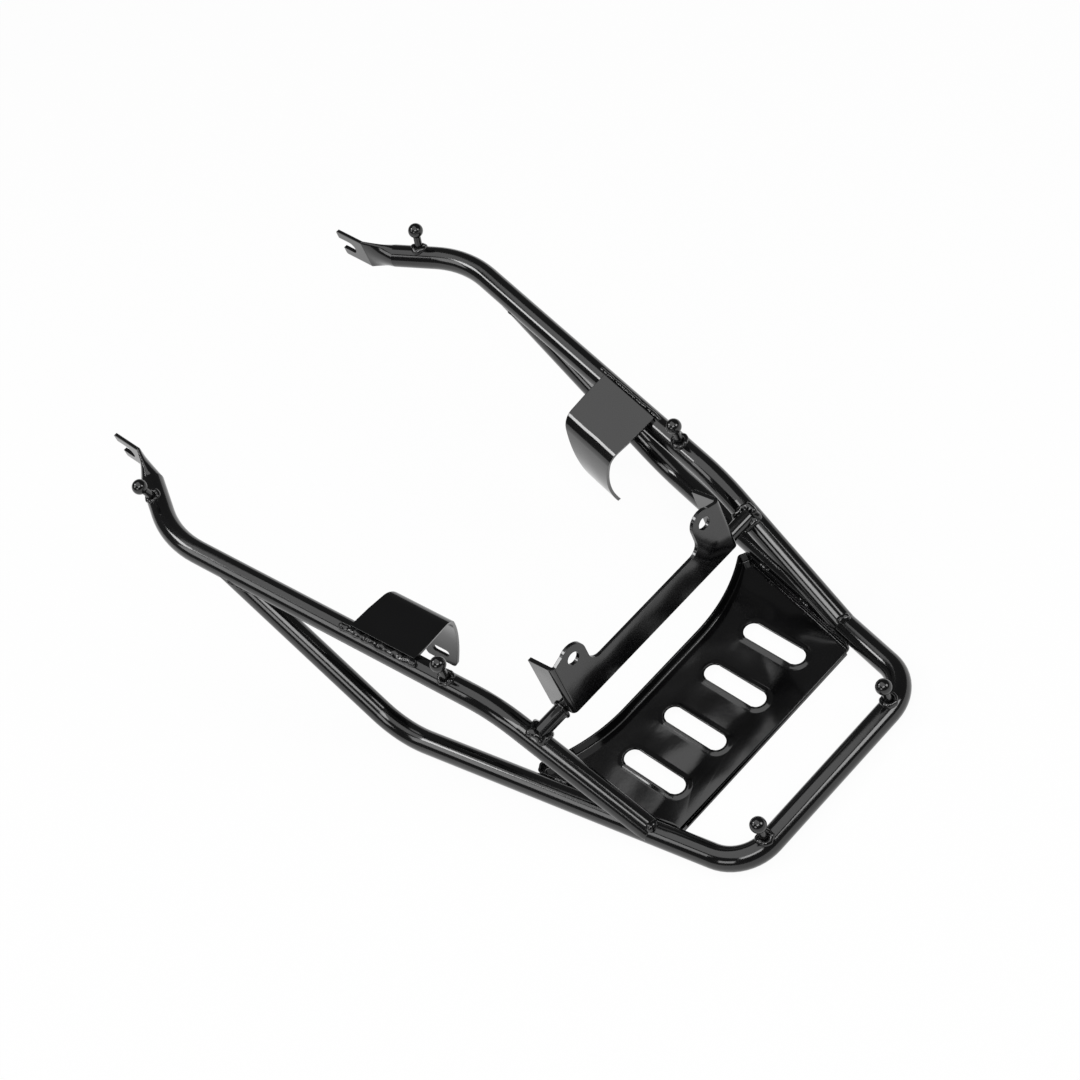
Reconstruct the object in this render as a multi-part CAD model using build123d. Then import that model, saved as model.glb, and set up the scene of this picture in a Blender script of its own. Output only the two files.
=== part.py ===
from build123d import *
import os
from math import cos, degrees, pi, radians, sin, sqrt, tan

# A welded steel luggage rack for the tail of a motorcycle, lying on its loop.
# X runs to the right, Y forward and Z up. While it is built, lengths run forward
# from the rear bar's axis and heights up from the floor under the side rails.

# Tube stock of the loop and the two upper tubes
TUBE_OD = 18.0
TUBE_WALL = 1.5

# Loop: rear bar, side rails and raised legs, bent from one tube; the legs end
# under the upper tubes, behind the front bends
REAR_CORNER_HALF = 88.5
REAR_CORNER_R = 32.0
RAIL_BEND_HALF = 148.5
RAIL_BEND_Y = 300.0
RAIL_BEND_R = 60.0
LEG_JOINT_BACK = 57.0

# Upper tubes: from the rails, up over the deck and forward to the tabs
TAIL_JOINT_Y = 76.0
REAR_BEND_HALF = 118.0
REAR_BEND_Y = 185.0
REAR_BEND_Z = 92.0
REAR_BEND_R = 80.0
FRONT_BEND_HALF = 163.0
FRONT_BEND_Y = 489.0
FRONT_BEND_Z = 139.0
FRONT_BEND_R = 90.0

# Tabs: the flattened front ends, forked for a bolt
TAB_HALF = 124.5
TAB_Z = 144.5
TAB_ROOT_Y = 570.0
TAB_TIP_Y = 603.0
FLATTEN_LENGTH = 26.0
FOLD_HALF_ANGLE = 15.0
TAB_SLOT_WIDTH = 11.0
TAB_SLOT_DEPTH = 19.0
TAB_CORNER_R = 3.0

# Deck: a pressed tray with raised front and side walls
DECK_SHEET = 1.5
DECK_FLOOR_Z = 4.5
DECK_WALL_HEIGHT = 8.0
DECK_BEND_R = 1.2
DECK_REAR_Y = 62.0
DECK_REAR_DROP = 3.9
DECK_FRONT_Y = 165.0
DECK_FRONT_FLAT_HALF = 40.0
DECK_CORNER_RUN = 27.0
DECK_RELIEF_R = 10.0
DECK_RELIEF_EDGE_R = 3.0
SLOT_COUNT = 4
SLOT_PITCH = 43.5
SLOT_WIDTH = 14.0
SLOT_REAR_MARGIN = 21.0
SLOT_FRONT_MARGIN = 24.0
SLOT_RIM_WIDTH = 3.0
SLOT_RIM_DROP = 1.5

# Stub rods between the upper tubes and the cross bracket
STUB_D = 12.0
STUB_Y = 154.5
STUB_SEAT = 5.9

# Cross bracket: upright strip with a drilled lug and a folded flange at each end
BRACKET_SHEET = 3.0
BRACKET_REAR_Y = 140.0
BRACKET_HALF = 86.5
BRACKET_RISE = 3.9
BRACKET_STRIP = 26.0
BRACKET_FOLD_R = 4.0
LUG_HALF = 67.5
LUG_RISE = 44.0
LUG_R = 11.5
LUG_HOLE_D = 10.5
LUG_ROOT_R = 9.0
FLANGE_DEPTH = 27.0
FLANGE_REAR_HEIGHT = 50.0
FLANGE_FRONT_HEIGHT = 45.0
FLANGE_DIP = 7.0

# Saddle brackets: bent tongues on the upper tubes, slotted for a bolt
SADDLE_SHEET = 2.5
SADDLE_MID_Y = 282.0
SADDLE_LENGTH = 59.0
SADDLE_TILT = 12.0
SADDLE_LAP = 2.0
SADDLE_FLAT = 34.0
SADDLE_BEND_R = 13.0
SADDLE_TURN = 65.0
SADDLE_WEB = 63.0
SADDLE_WEB_R = 109.0
SADDLE_SHOULDER_RISE = 7.5
SADDLE_WAIST_WIDTH = 40.0
SADDLE_WAIST_DROP = 32.0
SADDLE_TIP_WIDTH = 29.0
SADDLE_TIP_R = 4.0
SADDLE_SLOT_LENGTH = 16.0
SADDLE_SLOT_WIDTH = 6.0
SADDLE_SLOT_RISE = 9.0

# Strap pegs: a stem with a ball, standing on the tubes
PEG_STEM_D = 6.0
PEG_BALL_D = 12.0
PEG_REACH = 25.0
PEG_REAR_HALF = 66.0
PEG_MID_Y = 224.0
PEG_FRONT_Y = 526.0
PEG_FRONT_LEAN = 14.0

# Weld beads
PEG_BEAD_D = 13.0
PEG_BEAD_RISE = 3.0
STUB_BEAD_D = 16.0
JOINT_BEAD = 2.0
SEAM_BEAD_D = 6.0
SEAM_RUN_ON = 9.0
DECK_BEAD_D = 4.0
DECK_BEAD_LENGTH = 16.0

TUBE_R = TUBE_OD / 2
BORE_R = TUBE_R - TUBE_WALL
TAB_THICK = 2 * TUBE_WALL
TAB_HEIGHT = pi * (TUBE_OD - TUBE_WALL) / 2 + TUBE_WALL
DECK_CORNER_Y = DECK_FRONT_Y + DECK_CORNER_RUN
SLOT_LENGTH = DECK_FRONT_Y - DECK_REAR_Y - SLOT_REAR_MARGIN - SLOT_FRONT_MARGIN
SLOT_MID_Y = DECK_REAR_Y + SLOT_REAR_MARGIN + SLOT_LENGTH / 2
UP = Vector(0, 0, 1)


def along(start, end, y):
    """The point at a given Y on the line through two points."""
    share = (y - start.Y) / (end.Y - start.Y)
    return start + (end - start) * share


def rise_from(direction):
    """The most upright direction square to the given one."""
    return (UP - direction * UP.dot(direction)).normalized()


def flip(point):
    """The same point on the left-hand side."""
    return Vector(-point.X, point.Y, point.Z)


def left(shape):
    """A right-hand piece mirrored to the left."""
    return mirror(shape, about=Plane.YZ)


def rod(path, radius):
    """A round bar along a path."""
    section = Plane(origin=path @ 0, z_dir=path % 0) * Circle(radius)
    return sweep(section, path=path)


def bar(start, end, radius):
    """A straight round bar between two points."""
    return rod(Line(start, end), radius)


def bead(start, end, radius):
    """A straight bar with round ends, before it is cut back from what it joins."""
    run = end - start
    tip = radius * sin(pi / 4)
    profile = make_face([
        Line((0, -radius), (0, run.length + radius)),
        ThreePointArc((0, run.length + radius), (tip, run.length + tip), (radius, run.length)),
        Line((radius, run.length), (radius, 0)),
        ThreePointArc((radius, 0), (tip, -tip), (0, -radius)),
    ])
    return Plane(origin=start, z_dir=run) * revolve(Plane.XZ * profile, axis=Axis.Z)


# Axis points and directions of the right-hand side
rear_corner = Vector(REAR_CORNER_HALF, 0, TUBE_R)
rail_bend = Vector(RAIL_BEND_HALF, RAIL_BEND_Y, TUBE_R)
rear_bend = Vector(REAR_BEND_HALF, REAR_BEND_Y, REAR_BEND_Z)
front_bend = Vector(FRONT_BEND_HALF, FRONT_BEND_Y, FRONT_BEND_Z)
tail_joint = along(rear_corner, rail_bend, TAIL_JOINT_Y)
leg_joint = along(rear_bend, front_bend, FRONT_BEND_Y - LEG_JOINT_BACK)
tab_root = Vector(TAB_HALF, TAB_ROOT_Y, TAB_Z)
rail_dir = (rail_bend - rear_corner).normalized()
arm_dir = (front_bend - rear_bend).normalized()
neck_dir = (tab_root - front_bend).normalized()
neck_start = tab_root - neck_dir * FLATTEN_LENGTH

# Tube paths and the solid bars inside their outer walls
loop_path = FilletPolyline(
    leg_joint, rail_bend, rear_corner, flip(rear_corner), flip(rail_bend), flip(leg_joint),
    radius=[RAIL_BEND_R, REAR_CORNER_R, REAR_CORNER_R, RAIL_BEND_R],
)
upper_path = FilletPolyline(
    tail_joint, rear_bend, front_bend, neck_start,
    radius=[REAR_BEND_R, FRONT_BEND_R],
)
loop_core = rod(loop_path, TUBE_R)
upper_core = rod(upper_path, TUBE_R)
rail_core = bar(rear_corner, rail_bend, TUBE_R)
arm_core = bar(rear_bend, front_bend, TUBE_R)


def make_loop():
    """Hollow loop, with its leg ends coped to the upper tubes."""
    tube = loop_core - rod(loop_path, BORE_R)
    return tube - arm_core - left(arm_core)


def neck_section(plane, corner_x, corner_y, side_y, end_x):
    """Closed section of two sides and two end arcs; a side that bulges is an arc."""
    corners = [(corner_x, corner_y), (-corner_x, corner_y), (-corner_x, -corner_y), (corner_x, -corner_y)]
    if side_y > corner_y:
        upper_side = ThreePointArc(corners[0], (0, side_y), corners[1])
        lower_side = ThreePointArc(corners[2], (0, -side_y), corners[3])
    else:
        upper_side = Line(corners[0], corners[1])
        lower_side = Line(corners[2], corners[3])
    far_end = ThreePointArc(corners[1], (-end_x, 0), corners[2])
    near_end = ThreePointArc(corners[3], (end_x, 0), corners[0])
    return plane * make_face([upper_side, far_end, lower_side, near_end])


def make_upper_tube():
    """Right upper tube: coped to the rail behind, flattened and forked in front."""
    tube = upper_core - rod(upper_path, BORE_R) - rail_core
    round_plane = Plane(origin=neck_start, x_dir=rise_from(neck_dir), z_dir=neck_dir)
    fold = radians(FOLD_HALF_ANGLE)
    round_end = neck_section(round_plane, TUBE_R * cos(fold), TUBE_R * sin(fold), TUBE_R, TUBE_R)
    flat_plane = Plane(origin=tab_root, x_dir=UP, z_dir=(0, 1, 0))
    edge_r = TAB_THICK / 2
    flat_end = neck_section(flat_plane, TAB_HEIGHT / 2 - edge_r, edge_r, edge_r, TAB_HEIGHT / 2)
    tab = loft([round_end, flat_end]) + extrude(flat_end, amount=TAB_TIP_Y - TAB_ROOT_Y)
    side_plane = Plane(origin=(TAB_HALF, TAB_TIP_Y, TAB_Z), x_dir=(0, 1, 0), z_dir=(1, 0, 0))
    slot_r = TAB_SLOT_WIDTH / 2
    slot = Pos(-TAB_SLOT_DEPTH + slot_r, 0) * Circle(slot_r)
    slot += Pos(-TAB_SLOT_DEPTH + slot_r, 0) * Rectangle(
        TAB_SLOT_DEPTH, TAB_SLOT_WIDTH, align=(Align.MIN, Align.CENTER)
    )
    tab -= extrude(side_plane * slot, amount=TAB_THICK, both=True)
    outline = RectangleRounded(
        TAB_TIP_Y - TAB_ROOT_Y + 2 * FLATTEN_LENGTH, TAB_HEIGHT, TAB_CORNER_R, align=(Align.MAX, Align.CENTER)
    )
    tab &= extrude(side_plane * outline, amount=2 * TUBE_OD, both=True)
    return tube + tab


def deck_side_x(y):
    """Half width of the deck at Y, where its side walls touch the rails."""
    return REAR_CORNER_HALF + y * rail_dir.X / rail_dir.Y - TUBE_R / rail_dir.Y


def deck_outline():
    """Deck seen from above, run out behind, with a relief cut at each front corner."""
    run_out_y = DECK_REAR_Y - SLOT_LENGTH
    rear_x = deck_side_x(run_out_y)
    corner_x = deck_side_x(DECK_CORNER_Y)
    corner = (corner_x, DECK_CORNER_Y)
    curve = TangentArc((DECK_FRONT_FLAT_HALF, DECK_FRONT_Y), corner, tangent=(1, 0))
    half = make_face([
        Line((0, DECK_FRONT_Y), (DECK_FRONT_FLAT_HALF, DECK_FRONT_Y)),
        curve,
        Line(corner, (rear_x, run_out_y)),
        Line((rear_x, run_out_y), (0, run_out_y)),
        Line((0, run_out_y), (0, DECK_FRONT_Y)),
    ])
    half -= Pos(corner_x, DECK_CORNER_Y) * Circle(DECK_RELIEF_R)
    half = fillet(half.vertices().sort_by_distance(corner)[0:2], DECK_RELIEF_EDGE_R)
    return half + mirror(half, about=Plane.YZ)


def slot_cone(top_z, bottom_z, grow):
    """Strap slot as a funnel that narrows downwards; grow widens it all round."""
    wide = SlotOverall(SLOT_LENGTH + 2 * (SLOT_RIM_WIDTH + grow), SLOT_WIDTH + 2 * (SLOT_RIM_WIDTH + grow))
    narrow = SlotOverall(SLOT_LENGTH + 2 * grow, SLOT_WIDTH + 2 * grow)
    turn = Rot(0, 0, 90)
    return loft([Pos(0, SLOT_MID_Y, top_z) * turn * wide, Pos(0, SLOT_MID_Y, bottom_z) * turn * narrow])


def bend_edges(tray, z):
    """Edges at a height where the deck's floor turns into its walls."""
    level = tray.edges().filter_by_position(Axis.Z, z - DECK_SHEET / 4, z + DECK_SHEET / 4)
    return level.filter_by(lambda edge: edge.center().Y > DECK_REAR_Y + 2 * DECK_SHEET)


def make_deck():
    """Deck tray: floor, raised front and side walls, folded rear edge, slots with pressed rims."""
    floor_bottom = DECK_FLOOR_Z - DECK_SHEET
    outline = deck_outline()
    hollow = offset(outline, amount=-DECK_SHEET, kind=Kind.INTERSECTION)
    tray = extrude(Pos(0, 0, floor_bottom) * outline, amount=DECK_SHEET + DECK_WALL_HEIGHT)
    tray -= extrude(Pos(0, 0, DECK_FLOOR_Z) * hollow, amount=DECK_WALL_HEIGHT)
    behind = Box(2 * RAIL_BEND_HALF, SLOT_LENGTH, TUBE_OD * 2, align=(Align.CENTER, Align.MAX, Align.CENTER))
    tray -= Pos(0, DECK_REAR_Y, 0) * behind
    fold_width = 2 * (deck_side_x(DECK_REAR_Y) - DECK_SHEET - 2 * DECK_BEND_R)
    fold = Box(fold_width, DECK_SHEET, DECK_REAR_DROP, align=(Align.CENTER, Align.MIN, Align.MAX))
    tray += Pos(0, DECK_REAR_Y, DECK_FLOOR_Z) * fold
    for step in range(SLOT_COUNT):
        place = Pos((step - (SLOT_COUNT - 1) / 2) * SLOT_PITCH, 0, 0)
        rim_bottom = floor_bottom - SLOT_RIM_DROP
        tray += place * slot_cone(floor_bottom, rim_bottom, DECK_SHEET)
        tray -= place * slot_cone(DECK_FLOOR_Z, rim_bottom, 0)
    tray -= upper_core + left(upper_core)
    tray = fillet(bend_edges(tray, floor_bottom), DECK_BEND_R + DECK_SHEET)
    return fillet(bend_edges(tray, DECK_FLOOR_Z), DECK_BEND_R)


# Stub rods lie across the rising part of the upper tubes
stub_foot = along(tail_joint, rear_bend, STUB_Y)
tail_run = rear_bend - tail_joint
stub_z = stub_foot.Z + STUB_SEAT * sqrt(tail_run.Y ** 2 + tail_run.Z ** 2) / tail_run.Y
stub_start = Vector(BRACKET_HALF, STUB_Y, stub_z)
stub_end = Vector(stub_foot.X, STUB_Y, stub_z)
bracket_z = stub_z + BRACKET_RISE


def make_bracket():
    """Cross bracket: strip, lugs with bolt holes, and flanges folded forward."""
    lug_z = bracket_z + LUG_RISE
    strip_top = bracket_z + BRACKET_STRIP
    fold_top = bracket_z + FLANGE_REAR_HEIGHT
    fold_x = BRACKET_HALF - BRACKET_FOLD_R
    lug_side = LUG_HALF - LUG_R
    half = make_face(Polyline(
        (0, bracket_z), (BRACKET_HALF, bracket_z), (BRACKET_HALF, fold_top), (fold_x, fold_top),
        (LUG_HALF, lug_z + LUG_R), (lug_side, lug_z), (lug_side, strip_top), (0, strip_top), close=True,
    ))
    half += Pos(LUG_HALF, lug_z) * Circle(LUG_R)
    root = half.vertices().sort_by_distance((lug_side, strip_top, 0))[0]
    half = fillet(root, LUG_ROOT_R)
    half -= Pos(LUG_HALF, lug_z) * Circle(LUG_HOLE_D / 2)
    rear_plane = Plane(origin=(0, BRACKET_REAR_Y, 0), x_dir=(1, 0, 0), z_dir=(0, -1, 0))
    keep = extrude(rear_plane * half, amount=-BRACKET_FOLD_R)
    flange_bottom = bracket_z - FLANGE_DIP
    flange_top = bracket_z + FLANGE_FRONT_HEIGHT
    flange_face = make_face(Polyline(
        (0, bracket_z), (BRACKET_FOLD_R, bracket_z), (FLANGE_DEPTH, flange_bottom),
        (FLANGE_DEPTH, flange_top), (BRACKET_FOLD_R, fold_top), (0, fold_top), close=True,
    ))
    side_plane = Plane(origin=(BRACKET_HALF, BRACKET_REAR_Y, 0), x_dir=(0, 1, 0), z_dir=(1, 0, 0))
    keep += extrude(side_plane * flange_face, amount=-BRACKET_FOLD_R)
    mid_x = BRACKET_HALF - BRACKET_SHEET / 2
    mid_y = BRACKET_REAR_Y + BRACKET_SHEET / 2
    far_y = BRACKET_REAR_Y + FLANGE_DEPTH
    bent_line = FilletPolyline(
        (-mid_x, far_y), (-mid_x, mid_y), (mid_x, mid_y), (mid_x, far_y),
        radius=BRACKET_FOLD_R - BRACKET_SHEET / 2,
    )
    bent_strip = extrude(Pos(0, 0, flange_bottom) * trace(bent_line, BRACKET_SHEET), amount=lug_z)
    return bent_strip & (keep + left(keep))


def make_stub():
    """Right stub rod, coped to the upper tube."""
    return bar(stub_start, stub_end, STUB_D / 2) - upper_core


# Saddle frame: the flat touches the upper tube a little inward of its top
saddle_origin = along(rear_bend, front_bend, SADDLE_MID_Y)
level_up = rise_from(arm_dir)
level_in = level_up.cross(arm_dir)
saddle_tilt = radians(SADDLE_TILT)
saddle_in = level_in * cos(saddle_tilt) - level_up * sin(saddle_tilt)
saddle_up = level_up * cos(saddle_tilt) + level_in * sin(saddle_tilt)
saddle_plane = Plane(origin=saddle_origin, x_dir=saddle_in, z_dir=arm_dir)
saddle_side = Plane(origin=saddle_origin, x_dir=arm_dir, z_dir=level_in * -1)


def make_saddle():
    """Right saddle bracket: flat on the tube, curved down, tapered to a slotted tip."""
    top = TUBE_R + SADDLE_SHEET / 2
    web_length = SADDLE_WEB + SADDLE_SHEET
    flat = Line((-SADDLE_LAP, top), (SADDLE_FLAT, top))
    bend = JernArc(flat @ 1, (1, 0), SADDLE_BEND_R, -SADDLE_TURN)
    web = JernArc(bend @ 1, bend % 1, SADDLE_WEB_R, -degrees(web_length / SADDLE_WEB_R))
    strip = extrude(saddle_plane * trace(flat + bend + web, SADDLE_SHEET), amount=SADDLE_LENGTH / 2, both=True)
    tip = web @ 1
    half_length = SADDLE_LENGTH / 2
    half_tip = SADDLE_TIP_WIDTH / 2
    tip_z = tip.Y * cos(saddle_tilt) - tip.X * sin(saddle_tilt) + SADDLE_SHEET
    roof = TUBE_OD
    shoulder = SADDLE_SHOULDER_RISE
    waist = (SADDLE_WAIST_WIDTH / 2, -SADDLE_WAIST_DROP)
    shape = make_face([
        Line((-half_length, roof), (half_length, roof)),
        Line((half_length, roof), (half_length, shoulder)),
        ThreePointArc((half_length, shoulder), waist, (half_tip, tip_z)),
        Line((half_tip, tip_z), (-half_tip, tip_z)),
        ThreePointArc((-half_tip, tip_z), (-waist[0], waist[1]), (-half_length, shoulder)),
        Line((-half_length, shoulder), (-half_length, roof)),
    ])
    shape = fillet(shape.vertices().sort_by(Axis.Y)[0:2], SADDLE_TIP_R)
    tongue = strip & extrude(saddle_side * shape, amount=SADDLE_FLAT + 2 * SADDLE_BEND_R, both=True)
    slot_share = (SADDLE_WEB - SADDLE_SLOT_RISE) / web_length
    seat = web @ slot_share
    run = web % slot_share
    slot_plane = Plane(
        origin=saddle_origin + saddle_in * seat.X + saddle_up * seat.Y,
        x_dir=arm_dir,
        z_dir=saddle_up * run.X - saddle_in * run.Y,
    )
    slot = slot_plane * SlotOverall(SADDLE_SLOT_LENGTH, SADDLE_SLOT_WIDTH)
    return tongue - extrude(slot, amount=SADDLE_SHEET, both=True)


def make_saddle_weld(saddle):
    """Seam bead along the saddle's outer edge, run on past its front."""
    seam = saddle_origin + saddle_up * TUBE_R - saddle_in * (SADDLE_LAP + SEAM_BEAD_D / 4)
    start = seam - arm_dir * (SADDLE_LENGTH - SEAM_BEAD_D) / 2
    end = seam + arm_dir * (SADDLE_LENGTH / 2 + SEAM_RUN_ON - SEAM_BEAD_D / 2)
    return bead(start, end, SEAM_BEAD_D / 2) - arm_core - saddle


def make_peg(foot, lean, core):
    """Strap peg and its weld ring on a tube whose axis passes through foot."""
    axis = Vector(sin(radians(lean)), 0, cos(radians(lean)))
    ball = foot + axis * PEG_REACH
    peg = bar(foot, ball, PEG_STEM_D / 2) + Pos(ball) * Sphere(PEG_BALL_D / 2)
    peg -= core
    ring_depth = TUBE_R - sqrt(TUBE_R ** 2 - PEG_BEAD_D ** 2 / 4)
    ring_plane = Plane(origin=foot + axis * (TUBE_R - ring_depth), z_dir=axis)
    ring = ring_plane * Cone(
        PEG_BEAD_D / 2, PEG_STEM_D / 2, ring_depth + PEG_BEAD_RISE,
        align=(Align.CENTER, Align.CENTER, Align.MIN),
    )
    return peg, ring - core - peg


def rear_peg_foot():
    """Axis point of the loop at the rear peg, on the bar or on the corner's arc."""
    turn = rail_dir.get_angle(Vector(1, 0, 0))
    arc_start = REAR_CORNER_HALF - REAR_CORNER_R * tan(radians(turn / 2))
    past = max(PEG_REAR_HALF - arc_start, 0)
    return Vector(PEG_REAR_HALF, REAR_CORNER_R - sqrt(REAR_CORNER_R ** 2 - past ** 2), TUBE_R)


def make_leg_weld():
    """Bead where the right leg of the loop meets the underside of the upper tube."""
    leg_dir = (leg_joint - rail_bend).normalized()
    away = leg_dir - arm_dir * leg_dir.dot(arm_dir)
    leg_end = leg_joint + leg_dir * TUBE_OD
    collar = bar(rail_bend, leg_end, TUBE_R + JOINT_BEAD) - bar(rail_bend, leg_end, TUBE_R)
    beyond = Pos(0, 0, -JOINT_BEAD / 2) * Box(
        4 * TUBE_OD, 4 * TUBE_OD, 2 * TUBE_OD, align=(Align.CENTER, Align.CENTER, Align.MIN)
    )
    collar -= Plane(origin=leg_joint, x_dir=arm_dir, z_dir=away) * beyond
    return (collar & bar(rear_bend, front_bend, TUBE_R + JOINT_BEAD)) - arm_core


def make_tail_weld():
    """Bead where the rear end of the right upper tube lies on the rail, above the deck's walls."""
    tail_end = tail_joint - (rear_bend - tail_joint).normalized() * TUBE_OD
    collar = bar(tail_end, rear_bend, TUBE_R + JOINT_BEAD) - bar(tail_end, rear_bend, TUBE_R)
    wall_top = DECK_FLOOR_Z + DECK_WALL_HEIGHT
    below = Box(RAIL_BEND_HALF, RAIL_BEND_Y, 2 * TUBE_OD, align=(Align.CENTER, Align.CENTER, Align.MAX))
    collar -= Pos(tail_joint.X, tail_joint.Y, wall_top) * below
    return (collar & bar(rear_corner, rail_bend, TUBE_R + JOINT_BEAD)) - rail_core


def make_stub_tube_weld(stub):
    """Bead round the stub rod where it meets the upper tube."""
    grown = bar(stub_start, stub_end, STUB_BEAD_D / 2)
    return (grown & bar(tail_joint, rear_bend, TUBE_R + JOINT_BEAD)) - upper_core - stub


def make_stub_flange_weld(stub, bracket):
    """Bead round the stub rod where it meets the bracket's flange."""
    ring_plane = Plane(origin=stub_start, z_dir=(1, 0, 0))
    ring = ring_plane * Cone(
        STUB_BEAD_D / 2, STUB_D / 2, (STUB_BEAD_D - STUB_D) / 2, align=(Align.CENTER, Align.CENTER, Align.MIN)
    )
    return ring - stub - bracket


def make_deck_weld(mid_y, deck):
    """Bead on top of the right deck wall, against the rail."""
    wall_top = DECK_FLOOR_Z + DECK_WALL_HEIGHT
    mid = Vector(deck_side_x(mid_y), mid_y, wall_top)
    reach = rail_dir * (DECK_BEAD_LENGTH - DECK_BEAD_D) / 2
    return bead(mid - reach, mid + reach, DECK_BEAD_D / 2) - deck - rail_core


def build():
    """Every piece of the rack by its node name."""
    deck = make_deck()
    bracket = make_bracket()
    right = {"upper_tube": make_upper_tube(), "stub_rod": make_stub(), "saddle_bracket": make_saddle()}
    right["saddle_weld"] = make_saddle_weld(right["saddle_bracket"])
    feet = {
        "front": (along(front_bend, tab_root, PEG_FRONT_Y), PEG_FRONT_LEAN, upper_core),
        "mid": (along(rear_bend, front_bend, PEG_MID_Y), 0, arm_core),
        "rear": (rear_peg_foot(), 0, loop_core),
    }
    for place, (foot, lean, core) in feet.items():
        right[f"strap_peg_{place}"], right[f"peg_weld_{place}"] = make_peg(foot, lean, core)
    right["leg_weld"] = make_leg_weld()
    right["tail_weld"] = make_tail_weld()
    right["stub_tube_weld"] = make_stub_tube_weld(right["stub_rod"])
    right["stub_flange_weld"] = make_stub_flange_weld(right["stub_rod"], bracket)
    right["deck_weld_front"] = make_deck_weld(DECK_CORNER_Y - 2 * DECK_BEAD_LENGTH, deck)
    right["deck_weld_rear"] = make_deck_weld(SLOT_MID_Y, deck)
    pieces = {"rear_loop_tube": make_loop(), "deck_plate": deck, "cross_bracket": bracket}
    for name, shape in right.items():
        pieces[f"{name}_right"] = shape
        pieces[f"{name}_left"] = left(shape)
    return pieces


if __name__ == "__main__":
    os.makedirs("parts", exist_ok=True)
    to_middle = Pos(0, -(TAB_TIP_Y - TUBE_R) / 2, 0)
    for node, piece in build().items():
        export_step(to_middle * piece, f"parts/{node}.step")
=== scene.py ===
from math import cos, pi, radians, sin, sqrt

import bmesh
import bpy
from bpy.props import FloatProperty, FloatVectorProperty, IntProperty, PointerProperty
from bpy.types import Operator, Panel, PropertyGroup
from mathutils import Matrix, Vector


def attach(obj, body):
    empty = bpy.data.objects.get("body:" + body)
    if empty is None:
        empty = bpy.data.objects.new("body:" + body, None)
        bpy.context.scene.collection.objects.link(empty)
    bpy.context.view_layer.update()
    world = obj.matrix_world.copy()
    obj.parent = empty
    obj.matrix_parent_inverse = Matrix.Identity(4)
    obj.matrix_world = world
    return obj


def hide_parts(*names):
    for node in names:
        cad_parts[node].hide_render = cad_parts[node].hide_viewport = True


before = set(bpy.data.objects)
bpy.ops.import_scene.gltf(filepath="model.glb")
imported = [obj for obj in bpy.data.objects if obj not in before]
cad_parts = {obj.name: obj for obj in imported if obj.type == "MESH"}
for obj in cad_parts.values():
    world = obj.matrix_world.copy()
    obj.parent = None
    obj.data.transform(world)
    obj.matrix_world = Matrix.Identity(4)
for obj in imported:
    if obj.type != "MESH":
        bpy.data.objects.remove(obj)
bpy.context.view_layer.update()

bl_info = {
    "name": "Luggage Rack Looks",
    "version": (1, 0, 0),
    "blender": (4, 5, 0),
    "location": "3D View > Sidebar > Rack",
    "description": "Gloss black paint, rippled weld beads and a pale studio for a motorcycle luggage rack",
    "category": "Object",
}

BODY = "root"
SIDES = {"right": 1, "left": -1}

TUBE_NODES = ["rear_loop_tube"]
SHEET_NODES = ["cross_bracket"]
for side_name in SIDES:
    TUBE_NODES += [f"upper_tube_{side_name}", f"stub_rod_{side_name}"]
    TUBE_NODES += [f"strap_peg_{place}_{side_name}" for place in ("front", "mid", "rear")]
    SHEET_NODES += [f"saddle_bracket_{side_name}"]

# Axes of the right-hand tubes and rods in the part's frame, in metres
TUBE_R = 0.009
STUB_R = 0.006
UP = Vector((0, 0, 1))
REAR_CORNER = Vector((0.0885, -0.297, TUBE_R))
RAIL_BEND = Vector((0.1485, 0.003, TUBE_R))
TAIL_JOINT = Vector((0.1037, -0.221, TUBE_R))
REAR_BEND = Vector((0.118, -0.112, 0.092))
FRONT_BEND = Vector((0.163, 0.192, 0.139))
LEG_JOINT = Vector((0.15456, 0.135, 0.13019))
TAB_ROOT = Vector((0.1245, 0.273, 0.1445))
STUB_START = Vector((0.0865, -0.1425, 0.0762))
STUB_END = Vector((0.1140, -0.1425, 0.0762))
RAIL_RUN = (RAIL_BEND - REAR_CORNER).normalized()
TAIL_RUN = (REAR_BEND - TAIL_JOINT).normalized()
ARM_RUN = (FRONT_BEND - REAR_BEND).normalized()
NECK_RUN = (TAB_ROOT - FRONT_BEND).normalized()
LEG_RUN = (RAIL_BEND - LEG_JOINT).normalized()
STUB_RUN = (STUB_START - STUB_END).normalized()

# Strap pegs: foot on the tube's axis, the tube's run there, and the lean to the side
PEG_FRONT_LEAN = radians(14)
PEG_FEET = {
    "front": (Vector((0.14541, 0.229, 0.14151)), NECK_RUN, PEG_FRONT_LEAN),
    "mid": (Vector((0.12377, -0.073, 0.09803)), ARM_RUN, 0.0),
    "rear": (Vector((0.066, -0.29678, TUBE_R)), Vector((0.993, 0.117, 0)).normalized(), 0.0),
}

# Seams that run straight: along the saddle's edge on the upper tube, and the tacks on the deck's walls
SADDLE_SEAM_FROM = 0.066
SADDLE_SEAM_TO = 0.138
SADDLE_SEAM_TURN = radians(15)
DECK_WALL_TOP = 0.0125
DECK_TACKS = {
    "front": Vector((0.11132, -0.137, DECK_WALL_TOP)),
    "rear": Vector((0.10172, -0.185, DECK_WALL_TOP)),
}
DECK_TACK_REACH = 0.006

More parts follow.
